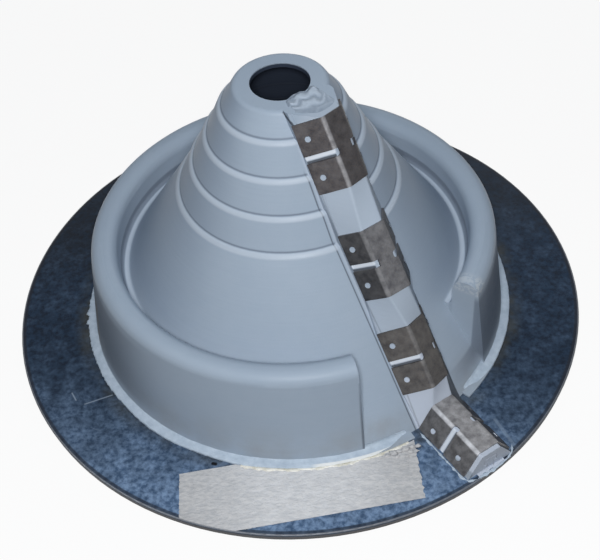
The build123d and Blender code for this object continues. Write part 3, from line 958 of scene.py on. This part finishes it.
# %% Lines through points
def on_polyline(path, share):
    """The point at a share of the way along a list of points, smoothed at the corners."""
    reach = share * (len(path) - 1)
    k = min(int(reach), len(path) - 2)
    t = reach - k
    earlier, later = path[max(k - 1, 0)], path[min(k + 2, len(path) - 1)]
    return [
        0.5 * (2 * q + (r - p) * t + (2 * p - 5 * q + 4 * r - s) * t * t + (3 * q - p - 3 * r + s) * t**3)
        for p, q, r, s in zip(earlier, path[k], path[k + 1], later)
    ]


# %% Torn rim
RIM_INNER = [(1.6, -14.4), (3.2, -13.0), (5.9, -10.3), (8.3, -8.6), (10.6, -8.6), (12.6, -6.6), (14.2, -4.2)]
RIM_OUTER = [
    (4.4, -25.0), (8.6, -26.4), (12.6, -27.2), (16.4, -27.4), (20.2, -25.2), (23.6, -21.6), (24.6, -16.4),
]
RIM_ALONG = 110
RIM_OUT = 80
RIM_UNDER = 0.9
RIM_CLIMB = 1.27
RIM_LUMP = 0.62

rim_points = []
for layer in (1, 0):
    for i in range(RIM_ALONG + 1):
        for j in range(RIM_OUT + 1):
            u, v = i / RIM_ALONG, j / RIM_OUT
            inner, outer = on_polyline(RIM_INNER, u), on_polyline(RIM_OUTER, u)
            x = inner[0] + (outer[0] - inner[0]) * v
            y = inner[1] + (outer[1] - inner[1]) * v
            strand = math.sin(2 * math.pi * (v * 3.2 + u * 0.8 + 0.9 * ripple(x, y, 0.20, 1.0)))
            edge = min(1.0, 9 * min(u, 1 - u), 9 * (1 - v))
            calm = 1 - 0.75 * max(0.0, min(1.0, (v - 0.55) * 4))
            lump = max(0.0, 0.42 + 0.40 * strand + 0.22 * ripple(x, y, 0.8, 4.0)) * edge * calm
            climb = min(1.0, v * 6.5)
            climb = climb * climb * (3 - 2 * climb)
            z = TOP / MM - 0.25 + RIM_CLIMB * climb * min(1.0, 0.25 + edge) + RIM_LUMP * lump
            rim_points.append(Vector((x * MM, y * MM, (z if layer else TOP / MM - RIM_UNDER) * MM)))
rim_faces = slab_faces(RIM_OUT, RIM_ALONG, len(rim_points) // 2)
piece("torn_rim", rim_points, rim_faces, torn_rubber)

# %% [markdown]
# ## Crumbs of old glue
# Grey lumps of glue and grit stick where the tape meets the foot. Each is a small ball of rings
# whose points are pushed in and out by noise, and all are one object.

# %% Crumbs: place on the ring and size, in millimetres
CRUMBS = [
    (36.4, -110.6, 1.6), (39.4, -109.6, 2.4), (42.4, -108.6, 1.9), (45.4, -107.8, 2.5), (48.6, -106.8, 2.2),
    (51.4, -106.6, 1.8), (41.0, -111.6, 1.3), (45.6, -111.8, 1.4), (47.4, -109.6, 1.8), (50.4, -109.2, 1.5),
    (33.0, -111.2, 1.2),
]
BALL_RINGS = 7
BALL_TURNS = 12

crumb_points, crumb_faces = [], []
for number, (x, y, size) in enumerate(CRUMBS):
    crumb_faces += tube_faces(BALL_RINGS - 1, BALL_TURNS, len(crumb_points), turned_over=True)
    for ring in range(BALL_RINGS):
        tilt = math.pi * (ring + 0.5) / BALL_RINGS
        for turn in range(BALL_TURNS):
            spin = 2 * math.pi * turn / BALL_TURNS
            way = Vector((math.sin(tilt) * math.cos(spin), math.sin(tilt) * math.sin(spin), math.cos(tilt)))
            swell = size * 0.5 * (1 + 0.7 * noise.noise(way * 1.4 + Vector((number * 3.1, 0, 0))))
            up = max(0.02, 0.4 * size + way.z * swell * 0.7)
            spot = Vector((x + way.x * swell * 1.7, y + way.y * swell * 1.1, up))
            crumb_points.append(spot * MM + Vector((0, 0, RING_TOP)))
piece("glue_crumbs", crumb_points, crumb_faces, tape)

# %% [markdown]
# ## Floor and light
# The photograph is cut out on white, so the floor and the world are white to the camera and to
# mirror rays, and otherwise lit plainly. Light Path tells which kind of ray asks. A small lamp near
# the camera models the cone. A broad one overhead shows in the ring, and one lights the back.

# %% Rays that see white
def rays_that_see_white(tree):
    """1 for camera, mirror and glass rays, 0 for the rays that only carry light."""
    ray = add_node(tree, "ShaderNodeLightPath").outputs
    return either(tree, either(tree, ray["Is Camera Ray"], ray["Is Glossy Ray"]), ray["Is Transmission Ray"])


def white_to_the_camera(tree, plain, white_kind, share, output):
    """Shows plain white in place of a plain shader, by a share."""
    white = add_node(tree, white_kind, {"Color": (1, 1, 1, 1), "Strength": 1.0})
    blend = add_node(tree, "ShaderNodeMixShader", {0: share})
    tree.links.new(plain.outputs[0], blend.inputs[1])
    tree.links.new(white.outputs[0], blend.inputs[2])
    tree.links.new(blend.outputs[0], tree.nodes[output].inputs["Surface"])


# %% White floor
FLOOR_GREY = (0.14, 0.14, 0.14)
FLOOR_PALE = (0.85, 0.85, 0.85)
NEAR_WHITE = 0.9
FLOOR_HALF = 6.0
FLOOR_DROP = 0.0001

floor_paint = bpy.data.materials.new("pale_floor")
floor_paint.use_nodes = True
tree = floor_paint.node_tree
floor_shader = tree.nodes["Principled BSDF"]
floor_shader.inputs["Roughness"].default_value = 0.9
floor_shader.inputs["Specular IOR Level"].default_value = 0.0
seen = rays_that_see_white(tree)
tree.links.new(mix_colour(tree, seen, FLOOR_GREY, FLOOR_PALE), floor_shader.inputs["Base Color"])
spot = add_node(tree, "ShaderNodeTexCoord").outputs["Object"]
from_middle = vector_node(tree, "LENGTH", spot, out="Value")
far_floor = times(tree, past(tree, from_middle, 250, 1200), 1 - NEAR_WHITE)
share_seen = times(tree, seen, plus(tree, far_floor, NEAR_WHITE))
white_share = times(tree, share_seen, past(tree, from_middle, 140, 146))
white_to_the_camera(tree, floor_shader, "ShaderNodeEmission", white_share, "Material Output")

floor_mesh = bpy.data.meshes.new("floor")
corners = [(x * FLOOR_HALF, y * FLOOR_HALF, 0) for x, y in ((-1, -1), (1, -1), (1, 1), (-1, 1))]
floor_mesh.from_pydata(corners, [], [(0, 1, 2, 3)])
floor = bpy.data.objects.new("floor", floor_mesh)
floor.location.z = -FLOOR_DROP
bpy.context.scene.collection.objects.link(floor)
floor_mesh.materials.append(floor_paint)

# %% World
world = bpy.data.worlds.new("room")
world.use_nodes = True
bpy.context.scene.world = world
tree = world.node_tree
room = tree.nodes["Background"]
room.inputs["Color"].default_value = (0.45, 0.70, 1.0, 1)
room.inputs["Strength"].default_value = 0.05
white_to_the_camera(tree, room, "ShaderNodeBackground", rays_that_see_white(tree), "World Output")


# %% Lamps
def soft_lamp(name, place, target, size, power, colour):
    """A square lamp of a given size in metres, aimed at a point."""
    data = bpy.data.lights.new(name, "AREA")
    data.size = size
    data.energy = power
    data.color = colour
    made = bpy.data.objects.new(name, data)
    bpy.context.scene.collection.objects.link(made)
    made.location = place
    made.rotation_mode = "QUATERNION"
    made.rotation_quaternion = (Vector(target) - Vector(place)).to_track_quat("-Z", "Y")


soft_lamp("front_lamp", (-0.01, -0.46, 0.53), (0, 0, 0.04), 0.10, 3.55, (1, 1, 1))
soft_lamp("overhead_lamp", (0.0, 0.15, 1.25), (0, 0, 0.0), 0.8, 1.35, (0.72, 0.87, 1.0))
soft_lamp("back_lamp", (0.25, 1.30, 0.70), (0, 0, 0.04), 0.5, 2.6, (0.85, 0.93, 1.0))
